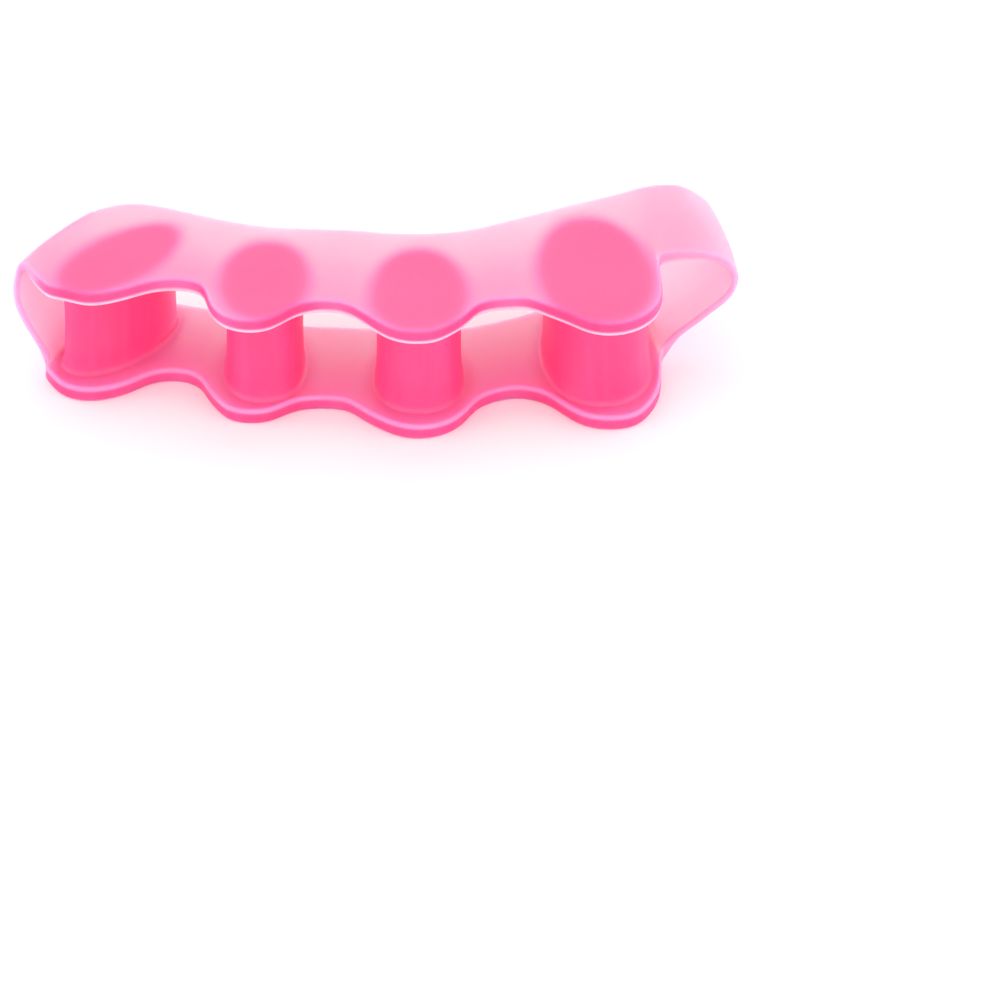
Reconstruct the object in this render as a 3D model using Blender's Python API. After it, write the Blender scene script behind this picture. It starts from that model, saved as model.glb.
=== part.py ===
"""Toe separator: one soft gel moulding.

Two flat plates of nearly the same wavy outline lie one above the other. Four
oval posts join them, one between each two toes, and at each end a thin band
loops round from the upper plate to the lower one, for the big toe and the
little toe. The toes go through the five openings from front to back.

X runs along the toes (big toe at +X), the wavy front edge is towards -Y, and Z
is up. The origin is the middle of the underside. Dimensions are in millimetres
here and become metres when the mesh is written.
"""

import math

import bmesh
import bpy
import numpy as np

# ---------------------------------------------------------------- dimensions
HEIGHT = 18.0            # outside to outside of the two plates
PLATE = 2.3              # thickness of each plate
RIM_RADIUS = 0.45        # rounding along every edge of the band
RIM_SHARE = 0.40         # the rounding never takes more of a thin wall than this
MIDDLE = (0.17, 0.0)     # the middle of the outline, which becomes the origin
LOOP_DEPTH = 16.0        # how far the big-toe loop reaches back
LOOP_FLARE = 3.6         # how much further out its front rim lies than its back rim
FILLET_OUT = 0.55        # post into plate: how far the fillet spreads on the plate
FILLET_DOWN = 0.90       # and how far it runs along the post
WAIST = 0.18             # the posts are this much slimmer at half height, each side

# The four posts, from the little toe to the big toe: the middle of the oval,
# half its length and half its width, the turn of its long axis from +Y towards
# -X in degrees, how full it is (2 is an ellipse) and how much wider it is
# towards the front.
POSTS = (
    dict(at=(-35.05, 2.1), long=9.9, wide=4.6, turn=-45.0, full=2.05, egg=0.05),
    dict(at=(-15.1, -3.35), long=8.7, wide=5.4, turn=-4.0, full=2.25, egg=0.02),
    dict(at=(6.1, -5.6), long=9.1, wide=5.95, turn=0.0, full=2.2, egg=0.10),
    dict(at=(30.3, -0.9), long=12.2, wide=7.2, turn=9.0, full=2.15, egg=0.08),
)

# Outline of the upper plate seen from above. The front edge runs from the
# little-toe end to the big-toe end, out round the tip of each post and back
# into the valleys between them.
TOP_FRONT = (
    (-46.6, -3.6), (-45.6, -5.4), (-44.5, -6.6), (-42.4, -7.4),
    (-39.6, -8.4), (-36.6, -8.0), (-33.6, -6.7), (-31.1, -5.5),
    (-28.3, -4.9), (-25.2, -5.3), (-23.5, -6.7), (-22.7, -9.6),
    (-21.6, -12.5), (-19.6, -14.4), (-16.9, -15.0), (-14.3, -14.2),
    (-11.9, -12.1), (-9.8, -10.7), (-7.4, -10.1), (-5.0, -10.3),
    (-3.2, -11.2), (-0.9, -13.5), (1.3, -15.9), (3.5, -17.3),
    (5.9, -17.7), (8.2, -17.3), (10.3, -15.8), (12.3, -13.6),
    (14.2, -10.9), (16.4, -9.8), (19.0, -9.4), (21.4, -9.6),
    (23.9, -11.1), (27.0, -13.2), (29.7, -15.1), (32.7, -15.7),
    (35.8, -14.7), (38.2, -12.2), (39.3, -9.0), (39.4, -6.0),
    (39.1, -3.0), (39.05, -0.7),
)
TOP_BACK = (
    (-37.4, 12.0), (-35.9, 12.7), (-33.6, 13.1), (-31.2, 12.8),
    (-28.6, 12.0), (-25.8, 10.9), (-22.6, 9.7), (-18.6, 8.3),
    (-14.5, 7.4), (-11.0, 7.05), (-7.2, 6.85), (-2.2, 6.45),
    (2.0, 5.9), (6.0, 5.7), (9.8, 6.0), (13.4, 6.8),
    (16.5, 8.0), (19.6, 9.4), (24.0, 11.35), (28.5, 13.35),
    (32.8, 15.15), (36.6, 16.95),
)
# The lower plate is the same shape, cut back a little in places.
LOW_FRONT = (
    (-45.0, -3.2), (-44.4, -4.7), (-43.3, -6.6), (-41.4, -8.1),
    (-39.1, -8.5), (-36.6, -8.0), (-33.8, -6.5), (-31.1, -4.6),
    (-28.3, -3.8), (-25.8, -4.2), (-23.8, -5.8), (-22.6, -8.4),
    (-21.4, -10.9), (-19.6, -13.2), (-16.8, -13.9), (-14.3, -13.3),
    (-12.0, -11.7), (-9.8, -10.7), (-7.4, -10.4), (-5.0, -10.6),
    (-3.2, -11.4), (-1.0, -13.6), (1.0, -15.4), (3.4, -17.0),
    (5.8, -17.6), (8.0, -17.3), (10.1, -16.2), (12.0, -14.0),
    (13.9, -10.8), (16.3, -8.9), (19.1, -8.0), (21.6, -8.3),
    (24.0, -9.6), (26.6, -12.4), (29.3, -14.7), (32.4, -15.4),
    (35.6, -14.6), (37.8, -11.5), (38.8, -8.0), (39.05, -5.0),
    (39.05, -2.4), (39.05, -0.7),
)
LOW_BACK = (
    (-36.7, 12.0), (-35.4, 12.4), (-33.4, 12.7), (-31.2, 12.6),
    (-28.6, 12.0), (-25.8, 11.2), (-22.6, 10.2), (-18.6, 8.2),
    (-14.5, 6.9), (-11.0, 6.4), (-7.2, 6.1), (-2.2, 5.8),
    (2.0, 5.3), (6.0, 5.1), (9.8, 5.4), (13.4, 6.1),
    (16.5, 7.2), (19.6, 8.5), (23.8, 10.6), (27.8, 12.7),
    (31.6, 14.8), (35.0, 16.8),
)
# The outlines above follow the visible edge, and the rounding reaches past it.
TOP_FRONT_GROW = 0.2
TOP_BACK_GROW = 0.4
LOW_FRONT_GROW = 0.45
LOW_BACK_GROW = 0.2
# Where each post's patch of plate starts and ends, as places in those lists.
PATCH_FRONT = ((0, 8), (10, 18), (20, 28), (31, 41))
PATCH_BACK = ((0, 5), (6, 10), (11, 15), (17, 21))

# Front rim of the big-toe loop, from the upper plate round to the lower one:
# X, Y, Z of its outer edge, then the step from there to its inner edge in X
# and Z, which makes the wall thinner as it goes round.
BIG_LOOP = (
    (39.5, 0.9, 18.0, 0.0, -2.3), (40.8, 1.6, 18.0, -0.1, -2.15),
    (42.5, 1.8, 18.0, -0.2, -1.95), (44.5, 1.8, 17.9, -0.3, -1.7),
    (46.5, 1.8, 17.5, -0.5, -1.45), (48.4, 1.8, 16.6, -0.7, -1.2),
    (49.7, 1.8, 15.2, -0.9, -0.8), (50.25, 1.8, 13.4, -1.0, -0.3),
    (49.9, 1.8, 11.4, -0.9, 0.3), (48.7, 1.8, 9.4, -0.7, 0.65),
    (46.6, 1.8, 7.4, -0.65, 0.7), (44.4, 1.8, 5.35, -0.65, 0.7),
    (42.2, 1.8, 3.3, -0.6, 0.85), (40.95, 1.65, 1.5, -0.5, 1.35),
    (40.1, 1.2, 0.35, -0.25, 2.0), (39.7, 0.4, 0.0, 0.0, 2.3),
)
# The back rim follows it LOOP_DEPTH behind and LOOP_FLARE further in, and a
# little lower. Its first and last points run along the plates' back edges: X
# and Y, and for the first ones Z and their step down to the inner edge.
BIG_LOOP_BACK_LOWER = 0.993
BIG_LOOP_BACK_STARTS = (
    (37.8, 17.75, 18.0, -2.3), (39.0, 18.05, 18.0, -2.3), (40.3, 18.15, 18.0, -2.3),
    (41.6, 18.1, 17.97, -2.2), (43.0, 17.95, 17.6, -1.85),
)
BIG_LOOP_BACK_ENDS = ((35.7, 17.2),)

# Both rims of the little-toe loop, from the lower plate up to the upper one:
# front X, Y, back X, Y, then Z, and again the step to the inner edge.
LITTLE_LOOP = (
    (-45.4, -2.1, -37.8, 11.7, 0.25, 0.25, 2.05),
    (-45.8, -1.5, -38.3, 11.5, 1.7, 0.7, 1.15),
    (-46.7, -1.2, -38.8, 11.35, 3.9, 0.85, 0.45),
    (-47.9, -1.1, -39.2, 11.25, 6.2, 0.85, 0.3),
    (-49.0, -1.1, -39.6, 11.15, 8.6, 0.85, 0.25),
    (-49.8, -1.1, -39.9, 11.1, 11.0, 0.88, 0.15),
    (-50.0, -1.0, -40.05, 11.1, 13.3, 0.92, 0.0),
    (-49.8, -0.8, -40.0, 11.2, 15.4, 0.95, -0.25),
    (-49.35, -0.6, -39.7, 11.4, 16.9, 0.9, -0.95),
    (-48.6, -0.9, -39.15, 11.65, 17.75, 0.6, -1.65),
    (-47.75, -2.0, -38.4, 12.0, 18.0, 0.2, -2.15),
)
# The walls of both loops bow out between their rims.
LITTLE_LOOP_BOW = 0.75
BIG_LOOP_BOW = 0.4

# ---------------------------------------------------------------- resolution
PATCH_STEPS = 10         # columns in each post's patch
GAP_STEPS = 3            # columns in each gap between two patches
LOOP_STEPS = 1           # columns between two points of a loop
ACROSS_STEPS = 7         # rows from the front edge to the back edge
RIM_STEPS = 2            # steps round each edge
FILLET_STEPS = 2         # steps round each fillet
RING_STEPS = 2           # rings between a patch's border and its fillet


class ClosedCurve:
    """A smooth closed curve through the given points, counted 0, 1, 2, ..."""

    def __init__(self, points):
        self.p = np.array(points, float)
        n = len(self.p)
        step = np.roll(self.p, -1, 0) - self.p
        self.h = np.sqrt(np.linalg.norm(step[:, :3], axis=1))
        rows = np.zeros((n, n))
        right = np.zeros_like(self.p)
        for i in range(n):
            before, after = self.h[i - 1], self.h[i]
            rows[i, i - 1] += 1 / before
            rows[i, i] += 2 / before + 2 / after
            rows[i, (i + 1) % n] += 1 / after
            right[i] = 3 * (step[i] / after**2 + step[i - 1] / before**2)
        self.m = np.linalg.solve(rows, right)

    def at(self, k):
        n = len(self.p)
        i = int(math.floor(k))
        t = k - i
        i, j = i % n, (i + 1) % n
        h = self.h[i]
        return (
            (2 * t**3 - 3 * t**2 + 1) * self.p[i]
            + (t**3 - 2 * t**2 + t) * h * self.m[i]
            + (3 * t**2 - 2 * t**3) * self.p[j]
            + (t**3 - t**2) * h * self.m[j]
        )

    def evenly(self, k0, k1, steps):
        """Places k from k0 to k1 that cut this stretch into equal lengths."""
        ks = np.linspace(k0, k1, 24 * steps + 1)
        pts = np.array([self.at(k)[:3] for k in ks])
        run = np.concatenate([[0], np.cumsum(np.linalg.norm(np.diff(pts, axis=0), axis=1))])
        return list(np.interp(np.linspace(0, run[-1], steps + 1), run, ks))


def unit(v):
    return v / max(np.linalg.norm(v), 1e-12)


def grown(points, by):
    """An open outline moved sideways, to the right of its direction."""
    p = np.array(points, float)
    run = np.gradient(p, axis=0)
    run /= np.linalg.norm(run, axis=1)[:, None]
    return p + by * np.stack([run[:, 1], -run[:, 0]], axis=1)


def edge_points():
    """Control points of the band's edges all the way round: upper plate,
    big-toe loop, lower plate, little-toe loop. Front edge and back edge, each
    with the X, Y, Z of its outer line and of its inner line."""
    front, back = [], []

    def plate(points, z, inner_z, edge):
        edge += [(x, y, z, x, y, inner_z) for x, y in points]

    plate(grown(TOP_FRONT, TOP_FRONT_GROW), HEIGHT, HEIGHT - PLATE, front)
    plate(grown(TOP_BACK, -TOP_BACK_GROW), HEIGHT, HEIGHT - PLATE, back)
    for n, (x, y, z, dx, dz) in enumerate(BIG_LOOP):
        front.append((x, y, z, x + dx, y, z + dz))
        late = n - len(BIG_LOOP) + len(BIG_LOOP_BACK_ENDS)
        if n < len(BIG_LOOP_BACK_STARTS):
            x, y, z, dz = BIG_LOOP_BACK_STARTS[n]
        elif late >= 0:
            x, y = BIG_LOOP_BACK_ENDS[late]
        else:
            x, y, z = x - LOOP_FLARE, 1.8 + LOOP_DEPTH - 0.05, z * BIG_LOOP_BACK_LOWER
        back.append((x, y, z, x + dx, y, z + dz))
    plate(grown(LOW_FRONT, LOW_FRONT_GROW)[::-1], 0.0, PLATE, front)
    plate(grown(LOW_BACK, -LOW_BACK_GROW)[::-1], 0.0, PLATE, back)
    for fx, fy, bx, by, z, dx, dz in LITTLE_LOOP:
        front.append((fx, fy, z, fx + dx, fy, z + dz))
        back.append((bx, by, z, bx + dx, by, z + dz))
    return front, back


def column_places():
    """Where the band's columns lie on the two edge curves, and which columns
    start and end each post's patch, above and below."""
    nf, nb, loop, last = len(TOP_FRONT), len(TOP_BACK), len(BIG_LOOP), len(LITTLE_LOOP)
    low_f, low_b = nf + loop, nb + loop          # first point of the lower plate
    stops = []
    for n in range(4):
        stops.append((PATCH_FRONT[n][0], PATCH_BACK[n][0], PATCH_STEPS))
        stops.append((PATCH_FRONT[n][1], PATCH_BACK[n][1], GAP_STEPS if n < 3 else 0))
    for n in reversed(range(4)):
        stops.append((low_f + nf - 1 - PATCH_FRONT[n][1], low_b + nb - 1 - PATCH_BACK[n][1], PATCH_STEPS))
        stops.append((low_f + nf - 1 - PATCH_FRONT[n][0], low_b + nb - 1 - PATCH_BACK[n][0], GAP_STEPS if n else 0))
    return stops, (nf + loop + nf + last, nb + loop + nb + last)


def columns():
    front, back = (ClosedCurve(points) for points in edge_points())
    stops, (total_f, total_b) = column_places()
    kf, kb, plates, patches = [], [], [], []
    for n, (f0, b0, steps) in enumerate(stops):
        f1, b1 = stops[n + 1][:2] if n + 1 < len(stops) else (total_f, total_b)
        flat = 1 if n < 7 else (-1 if 7 < n < 15 else 0)
        if steps:
            if n % 2 == 0:
                patches.append((len(kf), len(kf) + steps))
            kf += front.evenly(f0, f1, steps)[:-1]
            kb += back.evenly(b0, b1, steps)[:-1]
        else:
            steps = (f1 - f0) * LOOP_STEPS
            kf += [f0 + (f1 - f0) * i / steps for i in range(steps)]
            kb += [b0 + (b1 - b0) * i / steps for i in range(steps)]
        plates += [flat] * (len(kf) - len(plates))
    # A column that ends a patch belongs to the plate, also where a loop starts.
    ends = {i for pair in patches for i in pair}
    out = []
    for i, (a, b) in enumerate(zip(kf, kb)):
        column = []
        for curve, k in ((front, a), (back, b)):
            point = curve.at(k)
            along = curve.at(k + 0.02) - curve.at(k - 0.02)
            if plates[i] or i in ends:
                up = point[2] > HEIGHT / 2
                point[2], point[5] = (HEIGHT, HEIGHT - PLATE) if up else (0.0, PLATE)
                along[2] = along[5] = 0.0
            point[2] = min(max(point[2], 0.0), HEIGHT)
            column.append((point[:3], point[3:], unit(unit(along[:3]) + unit(along[3:]))))
        out.append(column)
    return out, patches


def rim(outer, inner, into):
    """Points of a rounded edge from the outer surface to the inner one."""
    thick = np.linalg.norm(inner - outer)
    wall = (inner - outer) / thick
    r = min(RIM_RADIUS, RIM_SHARE * thick)
    pts = []
    for step in range(RIM_STEPS + 1):
        a = math.pi / 2 * step / RIM_STEPS
        pts.append(outer + into * r * (1 - math.sin(a)) + wall * r * (1 - math.cos(a)))
    for step in range(RIM_STEPS + 1):
        a = math.pi / 2 * (1 - step / RIM_STEPS)
        pts.append(inner + into * r * (1 - math.sin(a)) - wall * r * (1 - math.cos(a)))
    return pts


def oval(post, angle, grow=0.0):
    """A point of a post's outline and the direction out of it there."""
    p, turn = 2.0 / post["full"], math.radians(post["turn"])

    def point(a):
        c, s = math.cos(a), math.sin(a)
        wide = post["wide"] * (1 - post["egg"] * s)
        x = math.copysign(abs(c) ** p, c) * wide
        y = math.copysign(abs(s) ** p, s) * post["long"]
        return np.array([
            post["at"][0] + x * math.cos(turn) - y * math.sin(turn),
            post["at"][1] + x * math.sin(turn) + y * math.cos(turn),
        ])

    d = point(angle + 1e-3) - point(angle - 1e-3)
    return point(angle) + grow * unit(np.array([d[1], -d[0]]))


def oval_angles(post, border):
    """One angle on the oval for each border point: halfway between the ray
    through that point and even spacing round the oval."""
    fine = np.linspace(-math.pi, math.pi, 1441)
    pts = np.array([oval(post, a) for a in fine])
    run = np.concatenate([[0], np.cumsum(np.linalg.norm(np.diff(pts, axis=0), axis=1))])
    bearing = np.unwrap(np.arctan2(pts[:, 1] - post["at"][1], pts[:, 0] - post["at"][0]))
    rays = np.unwrap([math.atan2(y - post["at"][1], x - post["at"][0]) for x, y in border])
    ray_run = np.interp((rays - bearing[0]) % (2 * math.pi), bearing - bearing[0], run)
    ray_run = np.unwrap(ray_run, period=run[-1])
    n = len(border)
    even = np.arange(n) * run[-1] / n
    even += (ray_run - even).mean()
    mixed = (0.5 * ray_run + 0.5 * even) % run[-1]
    return list(np.interp(mixed, run, fine))


def build():
    cols, patches = columns()
    n = len(cols)
    bm = bmesh.new()

    def vert(p):
        x, y, z = p[0] - MIDDLE[0], p[1] - MIDDLE[1], min(max(p[2], 0.0), HEIGHT)
        return bm.verts.new((x * 0.001, y * 0.001, z * 0.001))

    def place(v):
        return np.array(v.co) * 1000 + (MIDDLE[0], MIDDLE[1], 0.0)

    in_patch = {i for a, b in patches for i in range(a + 1, b)}
    outer, inner, front_rim, back_rim = [], [], [], []
    for i, ((fo, fi, ft), (bo, bi, bt)) in enumerate(cols):
        across = unit(bo - fo)
        fr = rim(fo, fi, unit(across - ft * across.dot(ft)))
        br = rim(bo, bi, unit(-across + bt * across.dot(bt)))
        bow = np.zeros(3)
        for first, last, size, side in (
            (patches[3][1], patches[4][0], BIG_LOOP_BOW, -1),
            (patches[7][1], n, LITTLE_LOOP_BOW, 1),
        ):
            if first < i < last:
                late = (i - first) / (last - first)
                out = side * unit(np.array([-across[1], across[0], 0.0]))
                bow = 4 * size * math.sqrt(math.sin(math.pi * late)) * out
        share = [s / ACROSS_STEPS for s in range(ACROSS_STEPS + 1)]

        def row_point(a, b, s):
            return a * (1 - s) + b * s + bow * s * (1 - s)

        outer.append([vert(row_point(fr[0], br[0], s)) for s in share])
        row = [vert(fr[-1])]
        for s in share[1:-1]:
            row.append(None if i in in_patch else vert(row_point(fr[-1], br[-1], s)))
        inner.append(row + [vert(br[-1])])
        front_rim.append([outer[-1][0]] + [vert(p) for p in fr[1:-1]] + [inner[-1][0]])
        back_rim.append([outer[-1][-1]] + [vert(p) for p in br[1:-1]] + [inner[-1][-1]])

    def strip(a, b):
        for k in range(len(a) - 1):
            bm.faces.new((a[k], a[k + 1], b[k + 1], b[k]))

    covered = {i for a, b in patches for i in range(a, b)}
    for i in range(n):
        j = (i + 1) % n
        for rows in (outer, front_rim, back_rim):
            strip(rows[i], rows[j])
        if i not in covered:
            strip(inner[i], inner[j])

    def border(i0, i1, leftward):
        """Border of a patch on the inner surface, from its front-left corner
        counter-clockwise seen from above."""
        ids = list(range(i0, i1 + 1))
        if leftward:
            ids.reverse()
        left, right = ids[0], ids[-1]
        loop = [inner[i][0] for i in ids]
        loop += inner[right][1:]
        loop += [inner[i][-1] for i in reversed(ids[:-1])]
        loop += list(reversed(inner[left][1:-1]))
        return loop

    def close_patch(loop, post, angles, z, up):
        """Rings from a patch's border in to the post, then round the fillet.
        Returns the ring of edges where the post's straight wall starts."""
        start = [place(v) for v in loop]
        ring = loop
        count = len(loop)
        for step in range(1, RING_STEPS + FILLET_STEPS + 1):
            new = []
            for k in range(count):
                if step <= RING_STEPS:
                    share = step / RING_STEPS
                    xy = oval(post, angles[k], FILLET_OUT)
                    p = start[k][:2] * (1 - share) + xy * share
                    new.append(vert((p[0], p[1], z)))
                else:
                    a = math.pi / 2 * (step - RING_STEPS) / FILLET_STEPS
                    xy = oval(post, angles[k], FILLET_OUT * (1 - math.sin(a)))
                    new.append(vert((xy[0], xy[1], z + up * FILLET_DOWN * (1 - math.cos(a)))))
            for k in range(count):
                m = (k + 1) % count
                bm.faces.new((ring[k], ring[m], new[m], new[k]))
            ring = new
        return [bm.edges.get((ring[k], ring[(k + 1) % count])) for k in range(count)], ring

    for number, post in enumerate(POSTS):
        top = border(*patches[number], leftward=False)
        low = border(*patches[7 - number], leftward=True)
        angles = oval_angles(post, [place(v)[:2] for v in top])
        top_edges, top_ring = close_patch(top, post, angles, HEIGHT - PLATE, -1)
        low_edges, low_ring = close_patch(low, post, angles, PLATE, 1)
        middle = []
        for k, a in enumerate(angles):
            xy = oval(post, a, -WAIST)
            middle.append(vert((xy[0], xy[1], HEIGHT / 2)))
        waist = [bm.edges.new((middle[k], middle[(k + 1) % len(middle)])) for k in range(len(middle))]
        bmesh.ops.bridge_loops(bm, edges=top_edges + waist)
        bmesh.ops.bridge_loops(bm, edges=low_edges + waist)

    bmesh.ops.recalc_face_normals(bm, faces=bm.faces)
    mesh = bpy.data.meshes.new("toe_separator")
    bm.to_mesh(mesh)
    bm.free()
    mesh.shade_smooth()
    return mesh


def gel():
    material = bpy.data.materials.new("pink_gel")
    material.use_nodes = True
    shader = material.node_tree.nodes["Principled BSDF"]
    shader.inputs["Base Color"].default_value = (1.0, 0.19, 0.38, 1.0)
    shader.inputs["Roughness"].default_value = 0.35
    shader.inputs["Metallic"].default_value = 0.0
    shader.inputs["IOR"].default_value = 1.41
    return material


def main():
    for thing in list(bpy.data.objects):
        bpy.data.objects.remove(thing, do_unlink=True)
    piece = bpy.data.objects.new("toe_separator", build())
    bpy.context.scene.collection.objects.link(piece)
    piece.data.materials.append(gel())


main()
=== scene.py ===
"""Looks of the toe separator: see-through pink gel on a white studio floor.

The separator is one moulding. Its mesh here is the CAD part's own construction
with finer steps, so it stays exactly where the CAD part is. The dimensions are in
millimetres and become metres when the mesh is written.
"""

import math

import bmesh
import bpy
import numpy as np
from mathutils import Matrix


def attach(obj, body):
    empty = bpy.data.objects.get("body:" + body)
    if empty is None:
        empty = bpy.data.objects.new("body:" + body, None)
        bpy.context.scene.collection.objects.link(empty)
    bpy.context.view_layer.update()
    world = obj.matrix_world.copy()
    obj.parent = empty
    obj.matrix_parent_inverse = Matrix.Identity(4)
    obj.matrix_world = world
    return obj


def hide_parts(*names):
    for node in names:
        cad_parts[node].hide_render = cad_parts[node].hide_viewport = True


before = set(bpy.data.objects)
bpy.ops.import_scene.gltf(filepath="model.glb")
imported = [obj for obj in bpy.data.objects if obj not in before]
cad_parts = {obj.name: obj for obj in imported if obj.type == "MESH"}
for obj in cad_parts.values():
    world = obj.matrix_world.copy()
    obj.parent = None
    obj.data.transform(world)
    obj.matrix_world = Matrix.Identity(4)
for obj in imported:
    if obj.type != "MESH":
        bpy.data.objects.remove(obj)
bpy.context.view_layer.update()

# ---------------------------------------------------------------- dimensions
HEIGHT = 18.0            # outside to outside of the two plates
PLATE = 2.3              # thickness of each plate
RIM_RADIUS = 0.45        # rounding along every edge of the band
RIM_SHARE = 0.40         # the rounding never takes more of a thin wall than this
MIDDLE = (0.17, 0.0)     # the middle of the outline, which becomes the origin
LOOP_DEPTH = 16.0        # how far the big-toe loop reaches back
LOOP_FLARE = 3.6         # how much further out its front rim lies than its back rim
FILLET_OUT = 0.55        # post into plate: how far the fillet spreads on the plate
FILLET_DOWN = 0.90       # and how far it runs along the post
WAIST = 0.18             # the posts are this much slimmer at half height, each side

# The four posts, from the little toe to the big toe: the middle of the oval,
# half its length and half its width, the turn of its long axis from +Y towards
# -X in degrees, how full it is (2 is an ellipse) and how much wider it is
# towards the front.
POSTS = (
    dict(at=(-35.05, 2.1), long=9.9, wide=4.6, turn=-45.0, full=2.05, egg=0.05, fade=0.5),
    dict(at=(-15.1, -3.35), long=8.7, wide=5.4, turn=-4.0, full=2.25, egg=0.02),
    dict(at=(6.1, -5.6), long=9.1, wide=5.95, turn=0.0, full=2.2, egg=0.10),
    dict(at=(30.3, -0.9), long=12.2, wide=7.2, turn=9.0, full=2.15, egg=0.08),
)

# Outline of the upper plate seen from above. The front edge runs from the
# little-toe end to the big-toe end, out round the tip of each post and back
# into the valleys between them.
TOP_FRONT = (
    (-46.6, -3.6), (-45.6, -5.4), (-44.5, -6.6), (-42.4, -7.4),
    (-39.6, -8.4), (-36.6, -8.0), (-33.6, -6.7), (-31.1, -5.5),
    (-28.3, -4.9), (-25.2, -5.3), (-23.5, -6.7), (-22.7, -9.6),
    (-21.6, -12.5), (-19.6, -14.4), (-16.9, -15.0), (-14.3, -14.2),
    (-11.9, -12.1), (-9.8, -10.7), (-7.4, -10.1), (-5.0, -10.3),
    (-3.2, -11.2), (-0.9, -13.5), (1.3, -15.9), (3.5, -17.3),
    (5.9, -17.7), (8.2, -17.3), (10.3, -15.8), (12.3, -13.6),
    (14.2, -10.9), (16.4, -9.8), (19.0, -9.4), (21.4, -9.6),
    (23.9, -11.1), (27.0, -13.2), (29.7, -15.1), (32.7, -15.7),
    (35.8, -14.7), (38.2, -12.2), (39.3, -9.0), (39.4, -6.0),
    (39.1, -3.0), (39.05, -0.7),
)
TOP_BACK = (
    (-37.4, 12.0), (-35.9, 12.7), (-33.6, 13.1), (-31.2, 12.8),
    (-28.6, 12.0), (-25.8, 10.9), (-22.6, 9.7), (-18.6, 8.3),
    (-14.5, 7.4), (-11.0, 7.05), (-7.2, 6.85), (-2.2, 6.45),
    (2.0, 5.9), (6.0, 5.7), (9.8, 6.0), (13.4, 6.8),
    (16.5, 8.0), (19.6, 9.4), (24.0, 11.35), (28.5, 13.35),
    (32.8, 15.15), (36.6, 16.95),
)
# The lower plate is the same shape, cut back a little in places.
LOW_FRONT = (
    (-45.0, -3.2), (-44.4, -4.7), (-43.3, -6.6), (-41.4, -8.1),
    (-39.1, -8.5), (-36.6, -8.0), (-33.8, -6.5), (-31.1, -4.6),
    (-28.3, -3.8), (-25.8, -4.2), (-23.8, -5.8), (-22.6, -8.4),
    (-21.4, -10.9), (-19.6, -13.2), (-16.8, -13.9), (-14.3, -13.3),
    (-12.0, -11.7), (-9.8, -10.7), (-7.4, -10.4), (-5.0, -10.6),
    (-3.2, -11.4), (-1.0, -13.6), (1.0, -15.4), (3.4, -17.0),
    (5.8, -17.6), (8.0, -17.3), (10.1, -16.2), (12.0, -14.0),
    (13.9, -10.8), (16.3, -8.9), (19.1, -8.0), (21.6, -8.3),
    (24.0, -9.6), (26.6, -12.4), (29.3, -14.7), (32.4, -15.4),
    (35.6, -14.6), (37.8, -11.5), (38.8, -8.0), (39.05, -5.0),
    (39.05, -2.4), (39.05, -0.7),
)
LOW_BACK = (
    (-36.7, 12.0), (-35.4, 12.4), (-33.4, 12.7), (-31.2, 12.6),
    (-28.6, 12.0), (-25.8, 11.2), (-22.6, 10.2), (-18.6, 8.2),
    (-14.5, 6.9), (-11.0, 6.4), (-7.2, 6.1), (-2.2, 5.8),
    (2.0, 5.3), (6.0, 5.1), (9.8, 5.4), (13.4, 6.1),
    (16.5, 7.2), (19.6, 8.5), (23.8, 10.6), (27.8, 12.7),
    (31.6, 14.8), (35.0, 16.8),
)
# The outlines above follow the visible edge, and the rounding reaches past it.
TOP_FRONT_GROW = 0.2
TOP_BACK_GROW = 0.4
LOW_FRONT_GROW = 0.45
LOW_BACK_GROW = 0.2
# Where each post's patch of plate starts and ends, as places in those lists.
PATCH_FRONT = ((0, 8), (10, 18), (20, 28), (31, 41))
PATCH_BACK = ((0, 5), (6, 10), (11, 15), (17, 21))

# Front rim of the big-toe loop, from the upper plate round to the lower one:
# X, Y, Z of its outer edge, then the step from there to its inner edge in X
# and Z, which makes the wall thinner as it goes round.
BIG_LOOP = (
    (39.5, 0.9, 18.0, 0.0, -2.3), (40.8, 1.6, 18.0, -0.1, -2.15),
    (42.5, 1.8, 18.0, -0.2, -1.95), (44.5, 1.8, 17.9, -0.3, -1.7),
    (46.5, 1.8, 17.5, -0.5, -1.45), (48.4, 1.8, 16.6, -0.7, -1.2),
    (49.7, 1.8, 15.2, -0.9, -0.8), (50.25, 1.8, 13.4, -1.0, -0.3),
    (49.9, 1.8, 11.4, -0.9, 0.3), (48.7, 1.8, 9.4, -0.7, 0.65),
    (46.6, 1.8, 7.4, -0.65, 0.7), (44.4, 1.8, 5.35, -0.65, 0.7),
    (42.2, 1.8, 3.3, -0.6, 0.85), (40.95, 1.65, 1.5, -0.5, 1.35),
    (40.1, 1.2, 0.35, -0.25, 2.0), (39.7, 0.4, 0.0, 0.0, 2.3),
)
# The back rim follows it LOOP_DEPTH behind and LOOP_FLARE further in, and a
# little lower. Its first and last points run along the plates' back edges: X
# and Y, and for the first ones Z and their step down to the inner edge.
BIG_LOOP_BACK_LOWER = 0.993
BIG_LOOP_BACK_STARTS = (
    (37.8, 17.75, 18.0, -2.3), (39.0, 18.05, 18.0, -2.3), (40.3, 18.15, 18.0, -2.3),
    (41.6, 18.1, 17.97, -2.2), (43.0, 17.95, 17.6, -1.85),
)
BIG_LOOP_BACK_ENDS = ((35.7, 17.2),)

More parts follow.
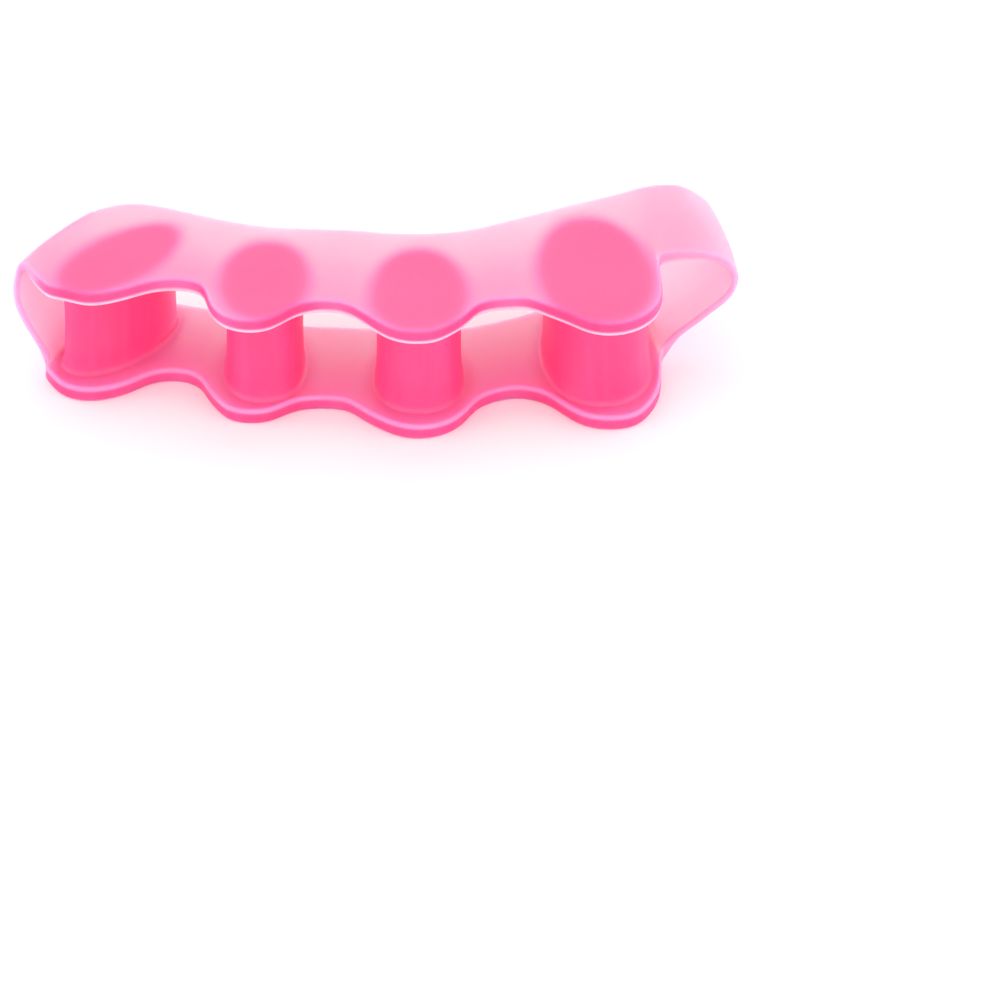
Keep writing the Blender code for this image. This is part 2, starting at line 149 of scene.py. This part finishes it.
# Both rims of the little-toe loop, from the lower plate up to the upper one:
# front X, Y, back X, Y, then Z, and again the step to the inner edge.
LITTLE_LOOP = (
    (-45.4, -2.1, -37.8, 11.7, 0.25, 0.25, 2.05),
    (-45.8, -1.5, -38.3, 11.5, 1.7, 0.7, 1.15),
    (-46.7, -1.2, -38.8, 11.35, 3.9, 0.85, 0.45),
    (-47.9, -1.1, -39.2, 11.25, 6.2, 0.85, 0.3),
    (-49.0, -1.1, -39.6, 11.15, 8.6, 0.85, 0.25),
    (-49.8, -1.1, -39.9, 11.1, 11.0, 0.88, 0.15),
    (-50.0, -1.0, -40.05, 11.1, 13.3, 0.92, 0.0),
    (-49.8, -0.8, -40.0, 11.2, 15.4, 0.95, -0.25),
    (-49.35, -0.6, -39.7, 11.4, 16.9, 0.9, -0.95),
    (-48.6, -0.9, -39.15, 11.65, 17.75, 0.6, -1.65),
    (-47.75, -2.0, -38.4, 12.0, 18.0, 0.2, -2.15),
)
# The walls of both loops bow out between their rims.
LITTLE_LOOP_BOW = 0.75
BIG_LOOP_BOW = 0.4

# ---------------------------------------------------------------- resolution
PATCH_STEPS = 30         # columns in each post's patch
GAP_STEPS = 8            # columns in each gap between two patches
LOOP_STEPS = 6           # columns between two points of a loop
ACROSS_STEPS = 22         # rows from the front edge to the back edge
RIM_STEPS = 6            # steps round each edge
STRAIGHT_STEPS = 6       # steps down the flat between two edges
FILLET_STEPS = 6         # steps round each fillet
RING_STEPS = 4           # rings between a patch's border and its fillet
WALL_STEPS = 8           # rings down each post's wall


class ClosedCurve:
    """A smooth closed curve through the given points, counted 0, 1, 2, ..."""

    def __init__(self, points):
        self.p = np.array(points, float)
        n = len(self.p)
        step = np.roll(self.p, -1, 0) - self.p
        self.h = np.sqrt(np.linalg.norm(step[:, :3], axis=1))
        rows = np.zeros((n, n))
        right = np.zeros_like(self.p)
        for i in range(n):
            before, after = self.h[i - 1], self.h[i]
            rows[i, i - 1] += 1 / before
            rows[i, i] += 2 / before + 2 / after
            rows[i, (i + 1) % n] += 1 / after
            right[i] = 3 * (step[i] / after**2 + step[i - 1] / before**2)
        self.m = np.linalg.solve(rows, right)

    def at(self, k):
        n = len(self.p)
        i = int(math.floor(k))
        t = k - i
        i, j = i % n, (i + 1) % n
        h = self.h[i]
        return (
            (2 * t**3 - 3 * t**2 + 1) * self.p[i]
            + (t**3 - 2 * t**2 + t) * h * self.m[i]
            + (3 * t**2 - 2 * t**3) * self.p[j]
            + (t**3 - t**2) * h * self.m[j]
        )

    def evenly(self, k0, k1, steps):
        """Places k from k0 to k1 that cut this stretch into equal lengths."""
        ks = np.linspace(k0, k1, 24 * steps + 1)
        pts = np.array([self.at(k)[:3] for k in ks])
        run = np.concatenate([[0], np.cumsum(np.linalg.norm(np.diff(pts, axis=0), axis=1))])
        return list(np.interp(np.linspace(0, run[-1], steps + 1), run, ks))


def unit(v):
    return v / max(np.linalg.norm(v), 1e-12)


def grown(points, by):
    """An open outline moved sideways, to the right of its direction."""
    p = np.array(points, float)
    run = np.gradient(p, axis=0)
    run /= np.linalg.norm(run, axis=1)[:, None]
    return p + by * np.stack([run[:, 1], -run[:, 0]], axis=1)


def edge_points():
    """Control points of the band's edges all the way round: upper plate,
    big-toe loop, lower plate, little-toe loop. Front edge and back edge, each
    with the X, Y, Z of its outer line and of its inner line."""
    front, back = [], []

    def plate(points, z, inner_z, edge):
        edge += [(x, y, z, x, y, inner_z) for x, y in points]

    plate(grown(TOP_FRONT, TOP_FRONT_GROW), HEIGHT, HEIGHT - PLATE, front)
    plate(grown(TOP_BACK, -TOP_BACK_GROW), HEIGHT, HEIGHT - PLATE, back)
    for n, (x, y, z, dx, dz) in enumerate(BIG_LOOP):
        front.append((x, y, z, x + dx, y, z + dz))
        late = n - len(BIG_LOOP) + len(BIG_LOOP_BACK_ENDS)
        if n < len(BIG_LOOP_BACK_STARTS):
            x, y, z, dz = BIG_LOOP_BACK_STARTS[n]
        elif late >= 0:
            x, y = BIG_LOOP_BACK_ENDS[late]
        else:
            x, y, z = x - LOOP_FLARE, 1.8 + LOOP_DEPTH - 0.05, z * BIG_LOOP_BACK_LOWER
        back.append((x, y, z, x + dx, y, z + dz))
    plate(grown(LOW_FRONT, LOW_FRONT_GROW)[::-1], 0.0, PLATE, front)
    plate(grown(LOW_BACK, -LOW_BACK_GROW)[::-1], 0.0, PLATE, back)
    for fx, fy, bx, by, z, dx, dz in LITTLE_LOOP:
        front.append((fx, fy, z, fx + dx, fy, z + dz))
        back.append((bx, by, z, bx + dx, by, z + dz))
    return front, back


def column_places():
    """Where the band's columns lie on the two edge curves, and which columns
    start and end each post's patch, above and below."""
    nf, nb, loop, last = len(TOP_FRONT), len(TOP_BACK), len(BIG_LOOP), len(LITTLE_LOOP)
    low_f, low_b = nf + loop, nb + loop          # first point of the lower plate
    stops = []
    for n in range(4):
        stops.append((PATCH_FRONT[n][0], PATCH_BACK[n][0], PATCH_STEPS))
        stops.append((PATCH_FRONT[n][1], PATCH_BACK[n][1], GAP_STEPS if n < 3 else 0))
    for n in reversed(range(4)):
        stops.append((low_f + nf - 1 - PATCH_FRONT[n][1], low_b + nb - 1 - PATCH_BACK[n][1], PATCH_STEPS))
        stops.append((low_f + nf - 1 - PATCH_FRONT[n][0], low_b + nb - 1 - PATCH_BACK[n][0], GAP_STEPS if n else 0))
    return stops, (nf + loop + nf + last, nb + loop + nb + last)


def columns():
    front, back = (ClosedCurve(points) for points in edge_points())
    stops, (total_f, total_b) = column_places()
    kf, kb, plates, patches = [], [], [], []
    for n, (f0, b0, steps) in enumerate(stops):
        f1, b1 = stops[n + 1][:2] if n + 1 < len(stops) else (total_f, total_b)
        flat = 1 if n < 7 else (-1 if 7 < n < 15 else 0)
        if steps:
            if n % 2 == 0:
                patches.append((len(kf), len(kf) + steps))
            kf += front.evenly(f0, f1, steps)[:-1]
            kb += back.evenly(b0, b1, steps)[:-1]
        else:
            steps = (f1 - f0) * LOOP_STEPS
            kf += [f0 + (f1 - f0) * i / steps for i in range(steps)]
            kb += [b0 + (b1 - b0) * i / steps for i in range(steps)]
        plates += [flat] * (len(kf) - len(plates))
    # A column that ends a patch belongs to the plate, also where a loop starts.
    ends = {i for pair in patches for i in pair}
    out = []
    for i, (a, b) in enumerate(zip(kf, kb)):
        column = []
        for curve, k in ((front, a), (back, b)):
            point = curve.at(k)
            along = curve.at(k + 0.02) - curve.at(k - 0.02)
            if plates[i] or i in ends:
                up = point[2] > HEIGHT / 2
                point[2], point[5] = (HEIGHT, HEIGHT - PLATE) if up else (0.0, PLATE)
                along[2] = along[5] = 0.0
            point[2] = min(max(point[2], 0.0), HEIGHT)
            column.append((point[:3], point[3:], unit(unit(along[:3]) + unit(along[3:]))))
        out.append(column)
    return out, patches


def rim(outer, inner, into):
    """Points of a rounded edge from the outer surface to the inner one."""
    thick = np.linalg.norm(inner - outer)
    wall = (inner - outer) / thick
    r = min(RIM_RADIUS, RIM_SHARE * thick)
    pts = []
    for step in range(RIM_STEPS + 1):
        a = math.pi / 2 * step / RIM_STEPS
        pts.append(outer + into * r * (1 - math.sin(a)) + wall * r * (1 - math.cos(a)))
    for step in range(1, STRAIGHT_STEPS):
        share = step / STRAIGHT_STEPS
        pts.append(outer + wall * (r + (thick - 2 * r) * share))
    for step in range(RIM_STEPS + 1):
        a = math.pi / 2 * (1 - step / RIM_STEPS)
        pts.append(inner + into * r * (1 - math.sin(a)) - wall * r * (1 - math.cos(a)))
    return pts


def oval(post, angle, grow=0.0):
    """A point of a post's outline and the direction out of it there."""
    p, turn = 2.0 / post["full"], math.radians(post["turn"])

    def point(a):
        c, s = math.cos(a), math.sin(a)
        wide = post["wide"] * (1 - post["egg"] * s)
        x = math.copysign(abs(c) ** p, c) * wide
        y = math.copysign(abs(s) ** p, s) * post["long"]
        return np.array([
            post["at"][0] + x * math.cos(turn) - y * math.sin(turn),
            post["at"][1] + x * math.sin(turn) + y * math.cos(turn),
        ])

    d = point(angle + 1e-3) - point(angle - 1e-3)
    return point(angle) + grow * unit(np.array([d[1], -d[0]]))


def oval_angles(post, border):
    """One angle on the oval for each border point: halfway between the ray
    through that point and even spacing round the oval."""
    fine = np.linspace(-math.pi, math.pi, 1441)
    pts = np.array([oval(post, a) for a in fine])
    run = np.concatenate([[0], np.cumsum(np.linalg.norm(np.diff(pts, axis=0), axis=1))])
    bearing = np.unwrap(np.arctan2(pts[:, 1] - post["at"][1], pts[:, 0] - post["at"][0]))
    rays = np.unwrap([math.atan2(y - post["at"][1], x - post["at"][0]) for x, y in border])
    ray_run = np.interp((rays - bearing[0]) % (2 * math.pi), bearing - bearing[0], run)
    ray_run = np.unwrap(ray_run, period=run[-1])
    n = len(border)
    even = np.arange(n) * run[-1] / n
    even += (ray_run - even).mean()
    mixed = (0.5 * ray_run + 0.5 * even) % run[-1]
    return list(np.interp(mixed, run, fine))


# How deep the pink is, from 0 for the thinnest gel to 1 for the posts: at the
# front edge and at the back edge of each plate and of each loop. Part of it is
# painted light, shade and see-through, as said at each value.
# The upper plate is painted deeper at its front edge, as painted see-through of the lower plate and its shade, and
# paler at its back.
TONE_TOP = (0.33, 0.10)
# The lower plate is painted paler towards its back, under the upper plate, as painted light against the shade there.
TONE_LOW = (0.46, 0.12)
TONE_BIG_LOOP = (0.24, 0.18)
TONE_LITTLE_LOOP = (0.27, 0.20)
LOOP_INSIDE_PAINTED_LIGHT = 0.15        # the loops' inner walls keep this much of their tone: painted light inside the loops
TONE_PAINTED_SEE_THROUGH = 0.66      # painted see-through: the post, seen through the upper plate, painted over it
TONE_FOOT_LOW = 0.62      # under a post
FOOT_BLUR = (-1.3, 2.8)   # from how far inside the post's outline to how far outside
# Painted shade on the rims' side faces, for the longer path of light through the gel there, weaker along the loops.
RIM_PAINTED_SHADE = 0.44
RIM_PAINTED_SHADE_LOOP = 0.10
# A painted highlight, a pale line where the rims turn under: strong round the upper plate, faint round the lower.
RIM_PAINTED_HIGHLIGHT = 0.85
RIM_PAINTED_HIGHLIGHT_LOW = 0.12
SEE_THROUGH_SHIFT = -2.1         # the foot, painted on the upper plate as painted see-through, lies a little further forward


def smooth(a, b, v):
    t = min(max((v - a) / (b - a), 0.0), 1.0)
    return t * t * (3 - 2 * t)


def outside(post, x, y):
    """How far a point lies outside a post's outline, negative inside."""
    turn = math.radians(post["turn"])
    dx, dy = x - post["at"][0], y - post["at"][1]
    u = dx * math.cos(turn) + dy * math.sin(turn)
    v = -dx * math.sin(turn) + dy * math.cos(turn)
    wide = post["wide"] * (1 - post["egg"] * min(max(v / post["long"], -1), 1))
    rho = (abs(u / wide) ** post["full"] + abs(v / post["long"]) ** post["full"]) ** (1 / post["full"])
    return (rho - 1) * math.hypot(dx, dy) / max(rho, 0.05)


def column_tones(n, patches):
    """Front and back tone of each column, blurred along the band."""
    kinds = []
    for i in range(n):
        if i <= patches[3][1]:
            kinds.append(TONE_TOP)
        elif i < patches[4][0]:
            kinds.append(TONE_BIG_LOOP)
        elif i <= patches[7][1]:
            kinds.append(TONE_LOW)
        else:
            kinds.append(TONE_LITTLE_LOOP)
    tones = np.array(kinds)
    for _ in range(14):
        tones = 0.25 * np.roll(tones, 1, 0) + 0.5 * tones + 0.25 * np.roll(tones, -1, 0)
    return tones


def build():
    cols, patches = columns()
    n = len(cols)
    bm = bmesh.new()
    pink = bm.verts.layers.float.new("pink")
    tones = column_tones(n, patches)
    # The loops' inner walls keep only a little of their tone. They are painted pale as painted light inside the
    # loops.
    keeps = np.array([
        1.0 if i <= patches[3][1] or patches[4][0] <= i <= patches[7][1] else LOOP_INSIDE_PAINTED_LIGHT for i in range(n)
    ])
    for _ in range(14):
        keeps = 0.25 * np.roll(keeps, 1) + 0.5 * keeps + 0.25 * np.roll(keeps, -1)
    # The painted highlight runs round the upper plate and fades out along the loops.
    half = (patches[3][1] + patches[4][0]) // 2
    painted_highlights = [
        RIM_PAINTED_HIGHLIGHT if i <= patches[3][1]
        else RIM_PAINTED_HIGHLIGHT * (1 - smooth(patches[3][1], half, i)) if i < patches[4][0]
        else RIM_PAINTED_HIGHLIGHT_LOW if i <= patches[7][1]
        else RIM_PAINTED_HIGHLIGHT * smooth(n - 22, n, i)
        for i in range(n)
    ]

    def vert(p):
        x, y, z = p[0] - MIDDLE[0], p[1] - MIDDLE[1], min(max(p[2], 0.0), HEIGHT)
        return bm.verts.new((x * 0.001, y * 0.001, z * 0.001))

    def toned(v, tone, flat=True):
        """Sets a vertex's tone, deeper over the posts: on the upper plate as painted see-through of the post below.
        """
        x, y, z = place(v)
        if flat:
            top = z > HEIGHT / 2
            for post in POSTS:
                foot = 1 - smooth(*FOOT_BLUR, outside(post, x, y - (SEE_THROUGH_SHIFT if top else 0.0)))
                tone += ((TONE_PAINTED_SEE_THROUGH if top else TONE_FOOT_LOW) - tone) * foot
        v[pink] = tone
        return v

    def place(v):
        return np.array(v.co) * 1000 + (MIDDLE[0], MIDDLE[1], 0.0)

    def wall_tone(post, v):
        """The posts are a little paler towards their narrow back ends."""
        x, y, _ = place(v)
        turn = math.radians(post["turn"])
        back = -(x - post["at"][0]) * math.sin(turn) + (y - post["at"][1]) * math.cos(turn)
        return 1.0 - post.get("fade", 0.15) * smooth(-0.1, 0.9, back / post["long"])

    in_patch = {i for a, b in patches for i in range(a + 1, b)}
    outer, inner, front_rim, back_rim = [], [], [], []
    for i, ((fo, fi, ft), (bo, bi, bt)) in enumerate(cols):
        across = unit(bo - fo)
        fr = rim(fo, fi, unit(across - ft * across.dot(ft)))
        br = rim(bo, bi, unit(-across + bt * across.dot(bt)))
        bow = np.zeros(3)
        for first, last, size, side in (
            (patches[3][1], patches[4][0], BIG_LOOP_BOW, -1),
            (patches[7][1], n, LITTLE_LOOP_BOW, 1),
        ):
            if first < i < last:
                late = (i - first) / (last - first)
                out = side * unit(np.array([-across[1], across[0], 0.0]))
                bow = 4 * size * math.sqrt(math.sin(math.pi * late)) * out
        share = [s / ACROSS_STEPS for s in range(ACROSS_STEPS + 1)]

        def row_point(a, b, s):
            return a * (1 - s) + b * s + bow * s * (1 - s)

        tf, tb = tones[i]
        flat = i <= patches[3][1] or patches[4][0] <= i <= patches[7][1]

        def tone_at(s):
            return tf + (tb - tf) * smooth(0.0, 1.0, s)

        outer.append([toned(vert(row_point(fr[0], br[0], s)), tone_at(s), flat) for s in share])
        keep = keeps[i]
        row = [toned(vert(fr[-1]), tf * keep, flat)]
        for s in share[1:-1]:
            row.append(None if i in in_patch else toned(vert(row_point(fr[-1], br[-1], s)), tone_at(s) * keep, flat))
        inner.append(row + [toned(vert(br[-1]), tb * keep, flat)])
        # The rims get painted shade, a little deeper pink, with a painted highlight where they turn under.
        for rims, pts, tone, first, last in (
            (front_rim, fr, tf, outer[-1][0], inner[-1][0]),
            (back_rim, br, tb, outer[-1][-1], inner[-1][-1]),
        ):
            rims.append([first] + [toned(vert(p), tone, flat) for p in pts[1:-1]] + [last])
            run = np.concatenate([[0], np.cumsum(np.linalg.norm(np.diff(pts, axis=0), axis=1))])
            pale = painted_highlights[i]
            deeper = RIM_PAINTED_SHADE_LOOP + (RIM_PAINTED_SHADE - RIM_PAINTED_SHADE_LOOP) * smooth(0.6, 1.0, keeps[i])
            # The painted shade is strongest by the posts, and less between them.
            x, y, _ = place(first)
            deeper *= 1.15 - 0.6 * smooth(1.0, 6.0, min(outside(post, x, y) for post in POSTS))
            for v, late in zip(rims[-1], run / run[-1]):
                # painted shade on the rim's side face
                v[pink] += deeper * smooth(0.05, 0.3, late) * (1 - smooth(0.6, 0.7, late))
                # painted highlight: a pale line where the rim turns under
                v[pink] *= 1 - pale * smooth(0.64, 0.72, late) * (1 - smooth(0.9, 1.0, late))

    def strip(a, b):
        for k in range(len(a) - 1):
            bm.faces.new((a[k], a[k + 1], b[k + 1], b[k]))

    covered = {i for a, b in patches for i in range(a, b)}
    for i in range(n):
        j = (i + 1) % n
        for rows in (outer, front_rim, back_rim):
            strip(rows[i], rows[j])
        if i not in covered:
            strip(inner[i], inner[j])

    def border(i0, i1, leftward):
        """Border of a patch on the inner surface, from its front-left corner
        counter-clockwise seen from above."""
        ids = list(range(i0, i1 + 1))
        if leftward:
            ids.reverse()
        left, right = ids[0], ids[-1]
        loop = [inner[i][0] for i in ids]
        loop += inner[right][1:]
        loop += [inner[i][-1] for i in reversed(ids[:-1])]
        loop += list(reversed(inner[left][1:-1]))
        return loop

    def close_patch(loop, post, angles, z, up):
        """Rings from a patch's border in to the post, then round the fillet.
        Returns the ring where the post's straight wall starts."""
        start = [place(v) for v in loop]
        ring = loop
        count = len(loop)
        for step in range(1, RING_STEPS + FILLET_STEPS + 1):
            new = []
            for k in range(count):
                if step <= RING_STEPS:
                    share = step / RING_STEPS
                    xy = oval(post, angles[k], FILLET_OUT)
                    p = start[k][:2] * (1 - share) + xy * share
                    new.append(toned(vert((p[0], p[1], z)), loop[k][pink]))
                else:
                    a = math.pi / 2 * (step - RING_STEPS) / FILLET_STEPS
                    xy = oval(post, angles[k], FILLET_OUT * (1 - math.sin(a)))
                    new.append(vert((xy[0], xy[1], z + up * FILLET_DOWN * (1 - math.cos(a)))))
                    share = (step - RING_STEPS) / FILLET_STEPS
                    new[-1][pink] = ring[k][pink] * 0.55 + (0.35 + 0.65 * share) * 0.45
            for k in range(count):
                m = (k + 1) % count
                bm.faces.new((ring[k], ring[m], new[m], new[k]))
            ring = new
        return ring

    for number, post in enumerate(POSTS):
        top = border(*patches[number], leftward=False)
        low = border(*patches[7 - number], leftward=True)
        angles = oval_angles(post, [place(v)[:2] for v in top])
        top_ring = close_patch(top, post, angles, HEIGHT - PLATE, -1)
        low_ring = close_patch(low, post, angles, PLATE, 1)
        ring = top_ring
        z0, z1 = HEIGHT - PLATE - FILLET_DOWN, PLATE + FILLET_DOWN
        for v in top_ring:
            v[pink] = 0.95 * wall_tone(post, v)
        for v in low_ring:
            v[pink] = 0.85 * wall_tone(post, v)
        for step in range(1, WALL_STEPS + 1):
            share = step / WALL_STEPS
            new = low_ring
            if step < WALL_STEPS:
                slim = -WAIST * math.sin(math.pi * share)
                new = [vert((*oval(post, a, slim), z0 + (z1 - z0) * share)) for a in angles]
                for v in new:
                    v[pink] = wall_tone(post, v)
            for k in range(len(ring)):
                m = (k + 1) % len(ring)
                bm.faces.new((ring[k], ring[m], new[m], new[k]))
            ring = new

    bmesh.ops.recalc_face_normals(bm, faces=bm.faces)
    mesh = bpy.data.meshes.new("toe_separator")
    bm.to_mesh(mesh)
    bm.free()
    mesh.shade_smooth()
    return mesh


# ------------------------------------------------------------------ material
# Colour of the gel by how deep it is.
PINKS = (
    (0.00, (1.00, 0.66, 0.76)),
    (0.12, (1.00, 0.48, 0.625)),
    (0.32, (1.00, 0.32, 0.53)),
    (0.45, (1.00, 0.225, 0.50)),
    (0.56, (1.00, 0.144, 0.375)),
    (0.76, (1.00, 0.086, 0.290)),
    (1.00, (1.00, 0.058, 0.228)),
)


def gel():
    """Soft see-through gel: a faintly uneven satin surface, and a pink that
    deepens with the thickness of gel that the light goes through and with each
    vertex's painted tone, which also holds painted highlight, shade and see-through."""
    material = bpy.data.materials.new("pink_gel")
    material.use_nodes = True
    nodes, links = material.node_tree.nodes, material.node_tree.links
    shader = nodes["Principled BSDF"]
    shader.inputs["IOR"].default_value = 1.41
    shader.inputs["Transmission Weight"].default_value = 0.2
    shader.inputs["Subsurface Weight"].default_value = 1.0
    shader.inputs["Subsurface Radius"].default_value = (1.0, 0.36, 0.40)
    shader.inputs["Subsurface Scale"].default_value = 0.007
    place = nodes.new("ShaderNodeTexCoord")

    # The pink follows each vertex's tone: deeper for thicker gel, with painted
    # highlight, shade and see-through in it, and with slow clouds in it, as of gel
    # that was poured and cured.
    clouds = nodes.new("ShaderNodeTexNoise")
    clouds.inputs["Scale"].default_value = 55.0
    clouds.inputs["Detail"].default_value = 3.0
    links.new(place.outputs["Object"], clouds.inputs["Vector"])
    depth = nodes.new("ShaderNodeAttribute")
    depth.attribute_name = "pink"
    uneven = nodes.new("ShaderNodeMapRange")
    uneven.inputs["From Min"].default_value = 0.3
    uneven.inputs["From Max"].default_value = 0.7
    uneven.inputs["To Min"].default_value = -0.03
    uneven.inputs["To Max"].default_value = 0.03
    links.new(clouds.outputs["Fac"], uneven.inputs["Value"])
    both = nodes.new("ShaderNodeMath")
    both.operation = "ADD"
    links.new(depth.outputs["Fac"], both.inputs[0])
    links.new(uneven.outputs["Result"], both.inputs[1])
    tint = nodes.new("ShaderNodeValToRGB")
    ramp = tint.color_ramp
    while len(ramp.elements) < len(PINKS):
        ramp.elements.new(0.5)
    for stop, (where, colour) in zip(ramp.elements, PINKS):
        stop.position = where
    for stop, (where, colour) in zip(ramp.elements, PINKS):
        stop.color = (*colour, 1.0)

    # Faint upright streaks in the posts only.
    streaky = nodes.new("ShaderNodeMapRange")
    streaky.inputs["From Min"].default_value = 0.35
    streaky.inputs["From Max"].default_value = 0.65
    streaky.inputs["To Min"].default_value = -0.09
    streaky.inputs["To Max"].default_value = 0.05
    posts_only = nodes.new("ShaderNodeMapRange")
    posts_only.inputs["From Min"].default_value = 0.8
    posts_only.inputs["From Max"].default_value = 0.95
    links.new(depth.outputs["Fac"], posts_only.inputs["Value"])
    share = nodes.new("ShaderNodeMath")
    share.operation = "MULTIPLY"
    links.new(streaky.outputs["Result"], share.inputs[0])
    links.new(posts_only.outputs["Result"], share.inputs[1])
    total = nodes.new("ShaderNodeMath")
    total.operation = "ADD"
    links.new(both.outputs["Value"], total.inputs[0])
    links.new(share.outputs["Value"], total.inputs[1])
    links.new(total.outputs["Value"], tint.inputs["Fac"])
    links.new(tint.outputs["Color"], shader.inputs["Base Color"])

    # The skin is satin, a little rougher in patches.
    patches = nodes.new("ShaderNodeTexNoise")
    patches.inputs["Scale"].default_value = 140.0
    patches.inputs["Detail"].default_value = 4.0
    links.new(place.outputs["Object"], patches.inputs["Vector"])
    rough = nodes.new("ShaderNodeMapRange")
    rough.inputs["To Min"].default_value = 0.42
    rough.inputs["To Max"].default_value = 0.55
    links.new(patches.outputs["Fac"], rough.inputs["Value"])
    links.new(rough.outputs["Result"], shader.inputs["Roughness"])

    # Faint upright draw lines on the posts and a very fine grain all over.
    stretch = nodes.new("ShaderNodeMapping")
    stretch.inputs["Scale"].default_value = (1.0, 1.0, 0.06)
    links.new(place.outputs["Object"], stretch.inputs["Vector"])
    streaks = nodes.new("ShaderNodeTexNoise")
    streaks.inputs["Scale"].default_value = 520.0
    streaks.inputs["Detail"].default_value = 2.0
    links.new(stretch.outputs["Vector"], streaks.inputs["Vector"])
    links.new(streaks.outputs["Fac"], streaky.inputs["Value"])
    grain = nodes.new("ShaderNodeTexNoise")
    grain.inputs["Scale"].default_value = 2600.0
    grain.inputs["Detail"].default_value = 3.0
    links.new(place.outputs["Object"], grain.inputs["Vector"])
    lines = nodes.new("ShaderNodeBump")
    lines.inputs["Strength"].default_value = 0.25
    lines.inputs["Distance"].default_value = 0.00012
    links.new(streaks.outputs["Fac"], lines.inputs["Height"])
    skin = nodes.new("ShaderNodeBump")
    skin.inputs["Strength"].default_value = 0.25
    skin.inputs["Distance"].default_value = 0.00002
    links.new(grain.outputs["Fac"], skin.inputs["Height"])
    links.new(lines.outputs["Normal"], skin.inputs["Normal"])
    links.new(skin.outputs["Normal"], shader.inputs["Normal"])

    inside = nodes.new("ShaderNodeVolumeAbsorption")
    inside.inputs["Color"].default_value = (0.995, 0.34, 0.66, 1)
    inside.inputs["Density"].default_value = 20.0
    links.new(inside.outputs["Volume"], nodes["Material Output"].inputs["Volume"])
    return material


# --------------------------------------------------------------------- piece
piece = bpy.data.objects.new("gel_separator", build())
bpy.context.scene.collection.objects.link(piece)
piece.data.materials.append(gel())
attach(piece, "root")
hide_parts("toe_separator")

# --------------------------------------------------------------------- floor
floor_mesh = bpy.data.meshes.new("floor")
size = 3.0
floor_mesh.from_pydata([(-size, -size, 0), (size, -size, 0), (size, size, 0), (-size, size, 0)], [], [(0, 1, 2, 3)])
floor = bpy.data.objects.new("floor", floor_mesh)
floor.location = (0, 0, -0.0001)
bpy.context.scene.collection.objects.link(floor)
paper = bpy.data.materials.new("white_paper")
paper.use_nodes = True
sheet = paper.node_tree.nodes["Principled BSDF"]
sheet.inputs["Base Color"].default_value = (0.96, 0.96, 0.96, 1)
sheet.inputs["Roughness"].default_value = 1.0
sheet.inputs["Specular IOR Level"].default_value = 0.0
floor.data.materials.append(paper)

# --------------------------------------------------------------------- light
world = bpy.data.worlds.new("studio")
bpy.context.scene.world = world
world.use_nodes = True
world.node_tree.nodes["Background"].inputs["Color"].default_value = (1.0, 1.0, 1.0, 1)
# A white tent all round, brighter towards the horizon, so light gets in between
# the plates.
sky = world.node_tree.nodes.new("ShaderNodeTexCoord")
apart = world.node_tree.nodes.new("ShaderNodeSeparateXYZ")
tent = world.node_tree.nodes.new("ShaderNodeMapRange")
tent.inputs["From Min"].default_value = 0.0
tent.inputs["From Max"].default_value = 0.8
tent.inputs["To Min"].default_value = 3.6
tent.inputs["To Max"].default_value = 0.7
world.node_tree.links.new(sky.outputs["Generated"], apart.inputs["Vector"])
world.node_tree.links.new(apart.outputs["Z"], tent.inputs["Value"])
world.node_tree.links.new(tent.outputs["Result"], world.node_tree.nodes["Background"].inputs["Strength"])
bpy.context.scene.view_settings.view_transform = "Standard"
# Light crosses the gel many times before it comes out again.
bpy.context.scene.cycles.max_bounces = 16
bpy.context.scene.cycles.diffuse_bounces = 9
bpy.context.scene.cycles.transmission_bounces = 8

# -------------------------------------------------------------------- camera
ELEVATION = math.radians(35.0)
AWAY = 4.0               # metres
VIEW_WIDTH = 0.1381      # metres across the picture at the object
RIGHT, UP = 0.0171, -0.018655   # picture centre, from the origin
camera = bpy.data.objects.new("camera", bpy.data.cameras.new("camera"))
bpy.context.scene.collection.objects.link(camera)
camera.data.sensor_width = 36.0
camera.data.lens = 36.0 * AWAY / VIEW_WIDTH
sin, cos = math.sin(ELEVATION), math.cos(ELEVATION)
camera.location = (RIGHT, UP * sin - AWAY * cos, UP * cos + AWAY * sin)
camera.rotation_euler = (math.pi / 2 - ELEVATION, 0, 0)
bpy.context.scene.camera = camera
